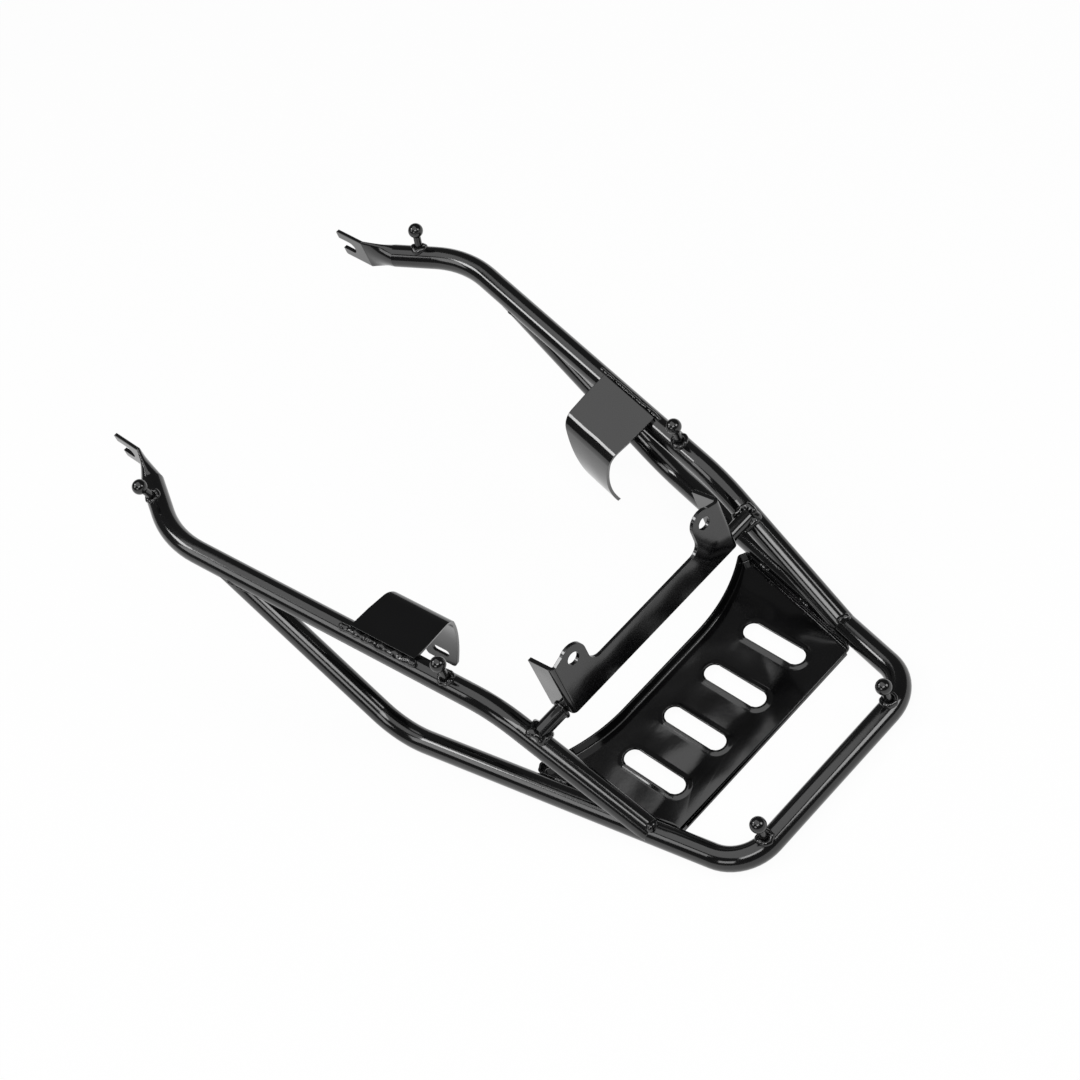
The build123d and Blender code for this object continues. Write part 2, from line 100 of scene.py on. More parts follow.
# Deck: its slots, the CAD's own rims, the raised rims made from them, and the fold behind
DECK_TOP = 0.0045
DECK_UNDER = 0.003
DECK_REAR = -0.235
FOLD_HALF = 0.087
SLOT_MIDDLES = (-0.06525, -0.02175, 0.02175, 0.06525)
SLOT_MIDDLE_Y = -0.185
SLOT_STRAIGHT = 0.022
SLOT_R = 0.007
CAD_RIM_R = 0.0105
CAD_BREAK_R = 0.00965
CAD_LIP_R = 0.0085
CAD_UNDER_R = 0.01215
CAD_RIM_SPLIT = 0.0078
RIM_CREST_R = 0.0078
RIM_FOOT_R = 0.012
CREST_SHARE = 0.15
DECK_CREASE = radians(28)
FOLD_SEGMENTS = 6
FOLD_PROFILE = 0.5
NEAR = 0.00002
MERGE = 0.000002

# Weld beads: how much of a joint they cover, and the make of their ripples and lumps
TAIL_WELD_RISE = 0.82
LEG_WELD_BACK = 0.5
PATH_STEPS = 72
RIPPLE_STEPS = 10.0
RING_SIDES = 18
BEAD_INPUTS = ("Radius", "Ripple Pitch", "Ripple Height", "Lump Size", "Lump Height", "Round Ends", "Seed")
END_FULLNESS = 1.02
LUMP_DETAIL = 1.0
NOISE_MIDDLE = 0.5
RIPPLE_WANDER = 0.8
RIPPLE_MIDDLE = 0.6

# Paint: noise detail, where an edge counts as thin, and what the slow drift does to the cover
PEEL_DETAIL = 1.5
WAVE_DETAIL = 0.0
DRIFT_DETAIL = 3.0
BEVEL_SAMPLES = 6
EDGE_STARTS = 0.97
EDGE_FULL = 0.80
EDGE_DRIFT = (0.35, 0.65)
EDGE_COVER = (0.15, 0.7)
FACE_DRIFT = (0.4, 0.75)
FACE_COVER = (0.0, 0.08)
ROUGH_DRIFT = (0.3, 0.7)
PAINT_IOR = 1.6

# Sockets of a Mix node that mixes colours
MIX_SHARE = 0
MIX_FIRST = 6
MIX_SECOND = 7
MIX_RESULT = 2

# Each finish: how its skin and roughness differ from the paint's middle values
FINISHES = {
    "gloss_black_tube": {"peel": 1.0, "depth": 1.0, "wave": 0.0, "rough": 1.0, "drift": 0.05},
    "gloss_black_sheet": {"peel": 1.3, "depth": 0.8, "wave": 1.0, "rough": 0.9, "drift": 0.07},
    "gloss_black_weld": {"peel": 0.35, "depth": 1.5, "wave": 0.0, "rough": 1.0, "drift": 0.012},
}

# Stage: camera, floor and lamps; a lamp's level is its brightness against white
CAMERA_PLACE = Vector((-0.4821, -1.1194, 1.3186))
CAMERA_RIGHT = Vector((0.676, -0.664, -0.320)).normalized()
CAMERA_FORWARD = Vector((0.286, 0.636, -0.717)).normalized()
SENSOR = 36.0
AIM = Vector((0, 0, 0.06))
FORWARD = Vector((0, 1, 0))
STEEP = 0.9
FLOOR_ROUGHNESS = 0.8
LAMPS = {
    "ceiling_box": {
        "direction": (-0.08, -0.04, 0.99), "distance": 2.1, "width": 2.05, "height": 3.05, "level": 1.4},
    "rear_left_box": {
        "direction": (-0.32, -0.58, 0.72), "distance": 2.5, "width": 1.3, "height": 0.55, "level": 5.5},
    "rear_right_box": {
        "direction": (0.42, -0.745, 0.525), "distance": 2.4, "width": 0.9, "height": 0.9, "level": 5.5},
    "front_left_box": {
        "direction": (-0.70, 0.38, 0.60), "distance": 2.4, "width": 0.9, "height": 1.0, "level": 2.8},
    "front_strip": {
        "direction": (-0.37, 0.56, 0.735), "distance": 2.3, "width": 0.6, "height": 0.45, "level": 10.5},
    "side_box": {
        "direction": (-0.84, -0.32, 0.42), "distance": 2.2, "width": 0.9, "height": 0.6, "level": 3.4},
}


class PaintSettings(PropertyGroup):
    black: FloatVectorProperty(
        name="Paint Black", description="Colour of the paint where it lies thick",
        subtype="COLOR", size=3, min=0, max=1, default=(0.002, 0.002, 0.0022),
    )
    thin_black: FloatVectorProperty(
        name="Thin Paint", description="Colour of the paint where it drew thin over an edge",
        subtype="COLOR", size=3, min=0, max=1, default=(0.02, 0.02, 0.0215),
    )
    roughness: FloatProperty(
        name="Roughness", description="Middle roughness of the gloss paint",
        subtype="FACTOR", min=0, max=1, default=0.11,
    )
    roughness_drift: FloatProperty(
        name="Roughness Drift", description="How far the roughness wanders over the piece",
        subtype="FACTOR", min=0, max=1, default=0.05,
    )
    peel_size: FloatProperty(
        name="Orange Peel Size", description="Width of one bump of the paint's skin",
        unit="LENGTH", min=0.0002, default=0.0028,
    )
    peel_depth: FloatProperty(
        name="Orange Peel Depth", description="Depth of the bumps of the paint's skin",
        unit="LENGTH", min=0, default=0.000012,
    )
    wave_size: FloatProperty(
        name="Wave Size", description="Width of one of the slow waves that pressing leaves in sheet",
        unit="LENGTH", min=0.002, default=0.028,
    )
    wave_depth: FloatProperty(
        name="Wave Depth", description="Depth of the slow waves in sheet",
        unit="LENGTH", min=0, default=0.0005,
    )
    edge_width: FloatProperty(
        name="Edge Width", description="Width of the rounding that paint leaves on a cut edge",
        unit="LENGTH", min=0, default=0.0006,
    )


class DeckSettings(PropertyGroup):
    rim_rise: FloatProperty(
        name="Rim Rise", description="How far the rims round the deck's slots stand up",
        unit="LENGTH", min=0, max=0.003, default=0.0009,
    )
    fold_radius: FloatProperty(
        name="Fold Radius", description="Outer radius of the fold behind the deck",
        unit="LENGTH", min=0, max=0.0028, default=0.0024,
    )


class WeldSettings(PropertyGroup):
    ripple_pitch: FloatProperty(
        name="Ripple Pitch", description="Distance from one weld ripple to the next",
        unit="LENGTH", min=0.0005, default=0.0042,
    )
    ripple_height: FloatProperty(
        name="Ripple Height", description="Height of a ripple over a bead, against the bead's radius",
        subtype="FACTOR", min=0, max=1, default=0.1,
    )
    lump_size: FloatProperty(
        name="Lump Size", description="Length of the uneven swellings of a hand-laid bead",
        unit="LENGTH", min=0.001, default=0.0065,
    )
    lump_height: FloatProperty(
        name="Lump Height", description="Height of the uneven swellings, against the bead's radius",
        subtype="FACTOR", min=0, max=3, default=1.4,
    )
    seam_radius: FloatProperty(
        name="Seam Radius", description="Radius of the full bead along the left saddle bracket",
        unit="LENGTH", min=0.0005, default=0.0029,
    )
    slim_seam_radius: FloatProperty(
        name="Slim Seam Radius", description="Radius of the slim bead along the right saddle bracket",
        unit="LENGTH", min=0.0005, default=0.0015,
    )
    tail_radius: FloatProperty(
        name="Tail Radius", description="Radius of the beads where the upper tubes end on the rails",
        unit="LENGTH", min=0.0005, default=0.0037,
    )
    leg_radius: FloatProperty(
        name="Leg Radius", description="Radius of the beads where the legs end under the upper tubes",
        unit="LENGTH", min=0.0005, default=0.0011,
    )
    ring_radius: FloatProperty(
        name="Ring Radius", description="Radius of the beads round the feet of the pegs",
        unit="LENGTH", min=0.0005, default=0.0024,
    )
    stub_radius: FloatProperty(
        name="Stub Radius", description="Radius of the beads where the stub rods end on the upper tubes",
        unit="LENGTH", min=0.0005, default=0.0032,
    )
    flange_radius: FloatProperty(
        name="Flange Radius", description="Radius of the beads where the stub rods end on the bracket",
        unit="LENGTH", min=0.0005, default=0.0013,
    )
    tack_radius: FloatProperty(
        name="Tack Radius", description="Radius of the short beads on the deck's walls",
        unit="LENGTH", min=0.0005, default=0.002,
    )
    peg_ring: FloatProperty(
        name="Peg Ring", description="Radius of the ring that a peg's bead follows",
        unit="LENGTH", min=0.001, default=0.0044,
    )
    seed: IntProperty(
        name="Seed", description="Start of the random lumps", min=0, default=7,
    )


class StageSettings(PropertyGroup):
    floor_colour: FloatVectorProperty(
        name="Floor Colour", description="Colour of the floor under the lamps",
        subtype="COLOR", size=3, min=0, max=1, default=(0.86, 0.86, 0.86),
    )
    floor_white: FloatProperty(
        name="Floor White", description="Share of plain white in the floor, over its shaded colour",
        subtype="FACTOR", min=0, max=1, default=0.95,
    )
    floor_reach: FloatProperty(
        name="Floor Reach", description="Half the floor's width",
        unit="LENGTH", min=1, default=30.0,
    )
    lamp_level: FloatProperty(
        name="Lamp Level", description="Brightness of the lamps, against their own levels",
        min=0, default=1.0,
    )
    wall_level: FloatProperty(
        name="Wall Level", description="Brightness of the studio's walls and ceiling",
        min=0, max=1, default=0.10,
    )
    horizon_level: FloatProperty(
        name="Horizon Level", description="Brightness of the walls where they meet the floor",
        min=0, max=1, default=0.2,
    )
    horizon_rise: FloatProperty(
        name="Horizon Rise", description="How high the pale foot of the walls reaches, as a slope",
        min=0.01, max=1, default=0.2,
    )
    lens: FloatProperty(
        name="Lens", description="Focal length of the camera, in millimetres",
        min=1, default=78.15,
    )


# Paths that the weld beads follow


def square_pair(run):
    """Two directions square to the given one and to each other."""
    first = run.orthogonal().normalized()
    return first, run.cross(first).normalized()


def meeting_path(start, run, radius, host, host_run, host_radius):
    """Closed path where the skin of one bar leaves another, going along run."""
    first, second = square_pair(run)
    across = run - host_run * run.dot(host_run)
    points = []
    for step in range(PATH_STEPS):
        turn = 2 * pi * step / PATH_STEPS
        skin = start + (first * cos(turn) + second * sin(turn)) * radius
        offset = skin - host
        offset -= host_run * offset.dot(host_run)
        half = offset.dot(across) / across.length_squared
        rest = (offset.length_squared - host_radius ** 2) / across.length_squared
        points.append(skin + run * (sqrt(max(half * half - rest, 0)) - half))
    return points


def stretch(points, origin, normal, least):
    """The one stretch of a closed path that lies beyond a plane."""
    reach = [(p - origin).dot(normal) for p in points]
    start = reach.index(min(reach))
    turned = points[start:] + points[:start]
    return [p for p in turned if (p - origin).dot(normal) > least]


def circle_path(middle, run, radius):
    """Closed round path square to run."""
    first, second = square_pair(run)
    turns = [2 * pi * step / PATH_STEPS for step in range(PATH_STEPS)]
    return [middle + (first * cos(turn) + second * sin(turn)) * radius for turn in turns]


def on_side(points, side):
    """Right-hand points, or their mirror on the left."""
    return [Vector((p.x * side, p.y, p.z)) for p in points]


# Geometry nodes for a weld bead


def put(tree, kind, **values):
    """A new node with some of its settings."""
    node = tree.nodes.new(kind)
    for name, value in values.items():
        setattr(node, name, value)
    return node


def math_node(tree, operation, first, second=None):
    """A Math node fed by sockets or plain numbers; returns its result."""
    node = put(tree, "ShaderNodeMath", operation=operation)
    for socket, value in zip(node.inputs, (first, second)):
        if isinstance(value, bpy.types.NodeSocket):
            tree.links.new(value, socket)
        elif value is not None:
            socket.default_value = value
    return node.outputs[0]


def weld_tree():
    """Node tree that sweeps a rippled, lumpy bead along the edges of a path mesh."""
    tree = bpy.data.node_groups.new("weld_bead", "GeometryNodeTree")
    face = tree.interface
    face.new_socket("Path", in_out="INPUT", socket_type="NodeSocketGeometry")
    for name in BEAD_INPUTS:
        face.new_socket(name, in_out="INPUT", socket_type="NodeSocketFloat")
    face.new_socket("Paint", in_out="INPUT", socket_type="NodeSocketMaterial")
    face.new_socket("Bead", in_out="OUTPUT", socket_type="NodeSocketGeometry")
    source = put(tree, "NodeGroupInput").outputs
    link = tree.links.new

    curve = put(tree, "GeometryNodeMeshToCurve")
    link(source["Path"], curve.inputs["Mesh"])
    spaced = put(tree, "GeometryNodeResampleCurve", mode="LENGTH")
    link(curve.outputs["Curve"], spaced.inputs["Curve"])
    link(math_node(tree, "DIVIDE", source["Ripple Pitch"], RIPPLE_STEPS), spaced.inputs["Length"])

    travel = put(tree, "GeometryNodeSplineParameter").outputs["Length"]
    whole = put(tree, "GeometryNodeSplineLength").outputs["Length"]
    count = math_node(tree, "ROUND", math_node(tree, "DIVIDE", whole, source["Ripple Pitch"]))
    kept = put(tree, "GeometryNodeCaptureAttribute")
    kept.capture_items.new("FLOAT", "Ripple")
    link(spaced.outputs["Curve"], kept.inputs["Geometry"])
    part_way = math_node(tree, "DIVIDE", travel, whole)
    link(math_node(tree, "MULTIPLY", part_way, count), kept.inputs["Ripple"])

    to_end = math_node(tree, "MINIMUM", travel, math_node(tree, "SUBTRACT", whole, travel))
    nearness = math_node(tree, "MINIMUM", math_node(tree, "DIVIDE", to_end, source["Radius"]), 1.0)
    short = math_node(tree, "SUBTRACT", 1.0, nearness)
    fall = math_node(tree, "MULTIPLY", short, short)
    swell = math_node(tree, "SQRT", math_node(tree, "SUBTRACT", END_FULLNESS, fall))
    taper = math_node(tree, "SUBTRACT", 1.0, math_node(
        tree, "MULTIPLY", source["Round Ends"], math_node(tree, "SUBTRACT", 1.0, swell)))

    profile = put(tree, "GeometryNodeCurvePrimitiveCircle")
    profile.inputs["Resolution"].default_value = RING_SIDES
    link(source["Radius"], profile.inputs["Radius"])
    swept = put(tree, "GeometryNodeCurveToMesh")
    swept.inputs["Fill Caps"].default_value = True
    link(kept.outputs["Geometry"], swept.inputs["Curve"])
    link(profile.outputs["Curve"], swept.inputs["Profile Curve"])
    link(taper, swept.inputs["Scale"])

    lumps = put(tree, "ShaderNodeTexNoise", noise_dimensions="4D")
    lumps.inputs["Detail"].default_value = LUMP_DETAIL
    link(put(tree, "GeometryNodeInputPosition").outputs[0], lumps.inputs["Vector"])
    link(source["Seed"], lumps.inputs["W"])
    link(math_node(tree, "DIVIDE", 1.0, source["Lump Size"]), lumps.inputs["Scale"])
    lump = math_node(tree, "SUBTRACT", lumps.outputs["Fac"], NOISE_MIDDLE)

    wander = math_node(tree, "MULTIPLY", lump, RIPPLE_WANDER)
    phase = math_node(tree, "ADD", kept.outputs["Ripple"], wander)
    wave = math_node(tree, "ABSOLUTE", math_node(tree, "SINE", math_node(tree, "MULTIPLY", phase, pi)))
    ripple = math_node(tree, "SUBTRACT", wave, RIPPLE_MIDDLE)
    height = math_node(
        tree, "ADD", math_node(tree, "MULTIPLY", ripple, source["Ripple Height"]),
        math_node(tree, "MULTIPLY", lump, source["Lump Height"]))
    push = put(tree, "ShaderNodeVectorMath", operation="SCALE")
    link(put(tree, "GeometryNodeInputNormal").outputs["Normal"], push.inputs[0])
    link(height, push.inputs["Scale"])
    shaped = put(tree, "GeometryNodeSetPosition")
    link(swept.outputs["Mesh"], shaped.inputs["Geometry"])
    link(push.outputs["Vector"], shaped.inputs["Offset"])

    smooth = put(tree, "GeometryNodeSetShadeSmooth")
    link(shaped.outputs["Geometry"], smooth.inputs["Geometry"])
    real = put(tree, "GeometryNodeRealizeInstances")
    link(smooth.outputs["Geometry"], real.inputs["Geometry"])
    painted = put(tree, "GeometryNodeSetMaterial")
    link(real.outputs["Geometry"], painted.inputs["Geometry"])
    link(source["Paint"], painted.inputs["Material"])
    link(painted.outputs["Geometry"], put(tree, "NodeGroupOutput").inputs["Bead"])
    return tree


def path_object(name, points, closed):
    """Object that holds a path as loose edges."""
    mesh = bpy.data.meshes.new(name)
    edges = [(i, i + 1) for i in range(len(points) - 1)]
    if closed:
        edges.append((len(points) - 1, 0))
    mesh.from_pydata(points, edges, [])
    path = bpy.data.objects.new(name, mesh)
    bpy.context.scene.collection.objects.link(path)
    return path


def lay_bead(name, node, points, radius, closed=True):
    """Weld bead along a path, as a plain mesh that stands for a CAD bead."""
    welds = bpy.context.scene.rack_welds
    tree = bpy.data.node_groups.get("weld_bead") or weld_tree()
    path = path_object(f"{name}_path", points, closed)
    maker = path.modifiers.new("bead", "NODES")
    maker.node_group = tree
    values = {
        "Radius": radius,
        "Ripple Pitch": welds.ripple_pitch,
        "Ripple Height": welds.ripple_height * radius,
        "Lump Size": welds.lump_size,
        "Lump Height": welds.lump_height * radius,
        "Round Ends": 0.0 if closed else 1.0,
        "Seed": float(welds.seed),
        "Paint": paint_material("gloss_black_weld"),
    }
    for item in tree.interface.items_tree:
        if item.in_out == "INPUT" and item.name in values:
            maker[item.identifier] = values[item.name]
    shown = path.evaluated_get(bpy.context.evaluated_depsgraph_get())
    mesh = bpy.data.meshes.new_from_object(shown)
    path.modifiers.remove(maker)
    bpy.data.objects.remove(path)
    if not mesh.polygons:
        raise RuntimeError(f"the bead {name} came out empty")
    shell = bmesh.new()
    shell.from_mesh(mesh)
    bmesh.ops.recalc_face_normals(shell, faces=shell.faces)
    shell.to_mesh(mesh)
    shell.free()
    mesh.name = name
    bead = bpy.data.objects.new(name, mesh)
    bpy.context.scene.collection.objects.link(bead)
    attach(bead, BODY)
    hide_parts(node)


# Paint


def new_group(name, inputs, outputs):
    """Shader node group with named sockets; returns its tree, inputs and output node."""
    tree = bpy.data.node_groups.new(name, "ShaderNodeTree")
    for socket in inputs:
        tree.interface.new_socket(socket, in_out="INPUT", socket_type="NodeSocketFloat")
    for socket, kind in outputs.items():
        tree.interface.new_socket(socket, in_out="OUTPUT", socket_type=kind)
    return tree, put(tree, "NodeGroupInput").outputs, put(tree, "NodeGroupOutput")


def ranged(tree, value, low, high, to_low, to_high):
    """Map Range node fed by a socket; returns its result."""
    node = put(tree, "ShaderNodeMapRange")
    tree.links.new(value, node.inputs["Value"])
    for socket, number in zip(("From Min", "From Max", "To Min", "To Max"), (low, high, to_low, to_high)):
        node.inputs[socket].default_value = number
    return node.outputs["Result"]


def paint_skin_group():
    """The skin of sprayed paint: fine bumps, slow waves, and a slow drift over the piece."""
    outputs = {"Height": "NodeSocketFloat", "Wave": "NodeSocketFloat", "Drift": "NodeSocketFloat"}
    tree, source, result = new_group("paint_skin", ["Peel Size", "Wave Size", "Drift Size"], outputs)
    place = put(tree, "ShaderNodeTexCoord").outputs["Object"]
    noises = (
        ("Peel Size", "Height", PEEL_DETAIL),
        ("Wave Size", "Wave", WAVE_DETAIL),
        ("Drift Size", "Drift", DRIFT_DETAIL),
    )
    for size, output, detail in noises:
        noise = put(tree, "ShaderNodeTexNoise")
        noise.inputs["Detail"].default_value = detail
        tree.links.new(place, noise.inputs["Vector"])
        tree.links.new(math_node(tree, "DIVIDE", 1.0, source[size]), noise.inputs["Scale"])
        tree.links.new(noise.outputs["Fac"], result.inputs[output])
    return tree


def thin_edge_group():
    """Where paint draws thin over cut edges, and the rounding that it leaves there."""
    outputs = {"Edge": "NodeSocketFloat", "Round Normal": "NodeSocketVector"}
    tree, source, result = new_group("thin_edge", ["Edge Width"], outputs)
    rounding = put(tree, "ShaderNodeBevel", samples=BEVEL_SAMPLES)
    tree.links.new(source["Edge Width"], rounding.inputs["Radius"])
    straight = put(tree, "ShaderNodeNewGeometry").outputs["Normal"]
    turned = put(tree, "ShaderNodeVectorMath", operation="DOT_PRODUCT")
    tree.links.new(rounding.outputs["Normal"], turned.inputs[0])
    tree.links.new(straight, turned.inputs[1])
    edge = ranged(tree, turned.outputs["Value"], EDGE_STARTS, EDGE_FULL, 0.0, 1.0)
    tree.links.new(edge, result.inputs["Edge"])
    tree.links.new(rounding.outputs["Normal"], result.inputs["Round Normal"])
    return tree


def group_node(tree, name, make):
    """A placed shader group, which is built the first time it is asked for."""
    return put(tree, "ShaderNodeGroup", node_tree=bpy.data.node_groups.get(name) or make())


def paint_material(name):
    """One of the gloss black finishes, built the first time it is asked for."""
    found = bpy.data.materials.get(name)
    if found:
        return found
    paint = bpy.context.scene.rack_paint
    finish = FINISHES[name]
    material = bpy.data.materials.new(name)
    material.use_nodes = True
    tree = material.node_tree
    shader = tree.nodes["Principled BSDF"]
    skin = group_node(tree, "paint_skin", paint_skin_group)
    skin.inputs["Peel Size"].default_value = paint.peel_size * finish["peel"]
    skin.inputs["Wave Size"].default_value = paint.wave_size
    skin.inputs["Drift Size"].default_value = finish["drift"]
    edge = group_node(tree, "thin_edge", thin_edge_group)
    edge.inputs["Edge Width"].default_value = paint.edge_width
    drift = skin.outputs["Drift"]
    bare = ranged(tree, drift, *EDGE_DRIFT, *EDGE_COVER)
    thin = math_node(tree, "MULTIPLY", edge.outputs["Edge"], bare)
    cover = math_node(tree, "ADD", thin, ranged(tree, drift, *FACE_DRIFT, *FACE_COVER))
    colour = put(tree, "ShaderNodeMix", data_type="RGBA")
    tree.links.new(cover, colour.inputs[MIX_SHARE])
    colour.inputs[MIX_FIRST].default_value = (*paint.black, 1)
    colour.inputs[MIX_SECOND].default_value = (*paint.thin_black, 1)
    tree.links.new(colour.outputs[MIX_RESULT], shader.inputs["Base Color"])
    middle = paint.roughness * finish["rough"]
    spread = paint.roughness_drift / 2
    rough = ranged(tree, drift, *ROUGH_DRIFT, middle - spread, middle + spread)
    tree.links.new(rough, shader.inputs["Roughness"])
    normal = edge.outputs["Round Normal"]
    depths = {"Wave": paint.wave_depth * finish["wave"], "Height": paint.peel_depth * finish["depth"]}
    for height, depth in depths.items():
        if depth:
            bump = put(tree, "ShaderNodeBump")
            bump.inputs["Distance"].default_value = depth
            tree.links.new(skin.outputs[height], bump.inputs["Height"])
            tree.links.new(normal, bump.inputs["Normal"])
            normal = bump.outputs["Normal"]
    tree.links.new(normal, shader.inputs["Normal"])
    shader.inputs["IOR"].default_value = PAINT_IOR
    return material


def paint_nodes(names, finish):
    """Paint CAD nodes with a finish."""
    for name in names:
        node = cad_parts[name]
        node.data.materials.clear()
        node.data.materials.append(paint_material(finish))


# Deck


def slot_foot(place):
    """Nearest point to a place on the middle line of the nearest slot."""
    x = min(SLOT_MIDDLES, key=lambda middle: abs(middle - place.x))
    along = max(-SLOT_STRAIGHT, min(SLOT_STRAIGHT, place.y - SLOT_MIDDLE_Y))
    return Vector((x, SLOT_MIDDLE_Y + along, place.z))


def rim_share(reach):
    """How far out on a raised rim a point of the CAD rim goes, from 0 at the crest to 1 at the foot."""
    if reach < CAD_BREAK_R:
        return CREST_SHARE * (reach - SLOT_R) / (CAD_BREAK_R - SLOT_R)
    return CREST_SHARE + (1 - CREST_SHARE) * (reach - CAD_BREAK_R) / (CAD_RIM_R - CAD_BREAK_R)


def raise_rims(shell, rise):
    """Turn the rims of the deck's slots up, with the holes as wide as before."""
    for vert in shell.verts:
        foot = slot_foot(vert.co)
        away = vert.co - foot
        reach = away.length
        upper = vert.co.z > (DECK_TOP + DECK_UNDER) / 2 or reach < CAD_RIM_SPLIT
        if upper and reach < CAD_RIM_R + NEAR and vert.co.z < DECK_TOP + NEAR:
            share = rim_share(reach)
            wide = RIM_CREST_R + (RIM_FOOT_R - RIM_CREST_R) * share
            level = DECK_TOP + rise * (1 + cos(pi * share)) / 2
        elif not upper and reach < CAD_UNDER_R:
            share = (reach - CAD_LIP_R) / (CAD_UNDER_R - CAD_LIP_R)
            wide = SLOT_R + (CAD_UNDER_R - SLOT_R) * share
            level = DECK_UNDER + (DECK_TOP - DECK_UNDER + rise / 2) * (1 - share)
        else:
            continue
        vert.co = foot + away * wide / reach
        vert.co.z = level


def round_fold(shell, radius):
    """Round the outer edge of the fold behind the deck."""
    for x in (-FOLD_HALF, FOLD_HALF):
        parts = [*shell.verts, *shell.edges, *shell.faces]
        bmesh.ops.bisect_plane(shell, geom=parts, dist=NEAR, plane_co=(x, 0, 0), plane_no=(1, 0, 0))
    fold = []
    for edge in shell.edges:
        ends = [vert.co for vert in edge.verts]
        on_edge = all(abs(p.y - DECK_REAR) < NEAR and abs(p.z - DECK_TOP) < NEAR for p in ends)
        if on_edge and all(abs(p.x) < FOLD_HALF + NEAR for p in ends):
            fold.append(edge)
    bmesh.ops.bevel(
        shell, geom=fold, offset=radius, offset_type="OFFSET", segments=FOLD_SEGMENTS,
        profile=FOLD_PROFILE, affect="EDGES")


class RACK_OT_press_deck(Operator):
    """Make the deck with raised slot rims and a rounded fold, from the CAD deck"""
    bl_idname = "rack.press_deck"
    bl_label = "Press Deck"

    def execute(self, context):
        settings = context.scene.rack_deck
        shell = bmesh.new()
        shell.from_mesh(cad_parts["deck_plate"].data)
        bmesh.ops.remove_doubles(shell, verts=shell.verts, dist=MERGE)
        raise_rims(shell, settings.rim_rise)
        round_fold(shell, settings.fold_radius)
        mesh = bpy.data.meshes.new("deck_tray")
        shell.to_mesh(mesh)
        shell.free()
        mesh.shade_smooth()
        mesh.set_sharp_from_angle(angle=DECK_CREASE)
        mesh.materials.append(paint_material("gloss_black_sheet"))
        deck = bpy.data.objects.new("deck_tray", mesh)
        context.scene.collection.objects.link(deck)
        levelled = deck.modifiers.new("levelled", "WEIGHTED_NORMAL")
        levelled.keep_sharp = True
        shown = deck.evaluated_get(context.evaluated_depsgraph_get())
        flat = bpy.data.meshes.new_from_object(shown)
        deck.modifiers.remove(levelled)
        deck.data = flat
        bpy.data.meshes.remove(mesh)
        flat.name = "deck_tray"
        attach(deck, BODY)
        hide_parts("deck_plate")
        return {"FINISHED"}


class RACK_OT_paint_tubes(Operator):
    """Paint the loop, the upper tubes, the stub rods and the strap pegs"""
    bl_idname = "rack.paint_tubes"
    bl_label = "Paint Tubes"

    def execute(self, context):
        paint_nodes(TUBE_NODES, "gloss_black_tube")
        return {"FINISHED"}


class RACK_OT_paint_sheets(Operator):
    """Paint the cross bracket and the saddle brackets"""
    bl_idname = "rack.paint_sheets"
    bl_label = "Paint Sheets"

    def execute(self, context):
        paint_nodes(SHEET_NODES, "gloss_black_sheet")
        return {"FINISHED"}


class RACK_OT_weld_saddles(Operator):
    """Lay the long rippled seams along the saddle brackets"""
    bl_idname = "rack.weld_saddles"
    bl_label = "Weld Saddle Brackets"

    def execute(self, context):
        welds = context.scene.rack_welds
        radii = {"left": welds.seam_radius, "right": welds.slim_seam_radius}
        top = (UP - ARM_RUN * UP.dot(ARM_RUN)).normalized()
        outer = ARM_RUN.cross(top)
        skin = REAR_BEND + (top * cos(SADDLE_SEAM_TURN) + outer * sin(SADDLE_SEAM_TURN)) * TUBE_R
        ends = [skin + ARM_RUN * SADDLE_SEAM_FROM, skin + ARM_RUN * SADDLE_SEAM_TO]
        for name, side in SIDES.items():
            path = on_side(ends, side)
            lay_bead(f"saddle_seam_{name}", f"saddle_weld_{name}", path, radii[name], closed=False)
        return {"FINISHED"}


class RACK_OT_weld_pegs(Operator):
    """Lay a bead round the foot of each strap peg"""
    bl_idname = "rack.weld_pegs"
    bl_label = "Weld Strap Pegs"

    def execute(self, context):
        welds = context.scene.rack_welds
        for place, (foot, run, lean) in PEG_FEET.items():
            axis = Vector((sin(lean), 0, cos(lean)))
            ring = meeting_path(foot, axis, welds.peg_ring, foot, run, TUBE_R)
            for name, side in SIDES.items():
                path = on_side(ring, side)
                lay_bead(f"peg_ring_{place}_{name}", f"peg_weld_{place}_{name}", path, welds.ring_radius)
        return {"FINISHED"}


class RACK_OT_weld_joints(Operator):
    """Lay the beads where the upper tubes meet the rails and the loop's legs"""
    bl_idname = "rack.weld_joints"
    bl_label = "Weld Tube Joints"

    def execute(self, context):
        welds = context.scene.rack_welds
        tail = meeting_path(TAIL_JOINT, TAIL_RUN, TUBE_R, TAIL_JOINT, RAIL_RUN, TUBE_R)
        above = (UP - TAIL_RUN * UP.dot(TAIL_RUN)).normalized()
        tail = stretch(tail, TAIL_JOINT, above, TUBE_R * TAIL_WELD_RISE)
        leg = meeting_path(LEG_JOINT, LEG_RUN, TUBE_R, LEG_JOINT, ARM_RUN, TUBE_R)
        leg = stretch(leg, LEG_JOINT, -ARM_RUN, TUBE_R * LEG_WELD_BACK)
        for name, side in SIDES.items():
            path = on_side(tail, side)
            lay_bead(f"tail_seam_{name}", f"tail_weld_{name}", path, welds.tail_radius, closed=False)
            path = on_side(leg, side)
            lay_bead(f"leg_seam_{name}", f"leg_weld_{name}", path, welds.leg_radius, closed=False)
        return {"FINISHED"}


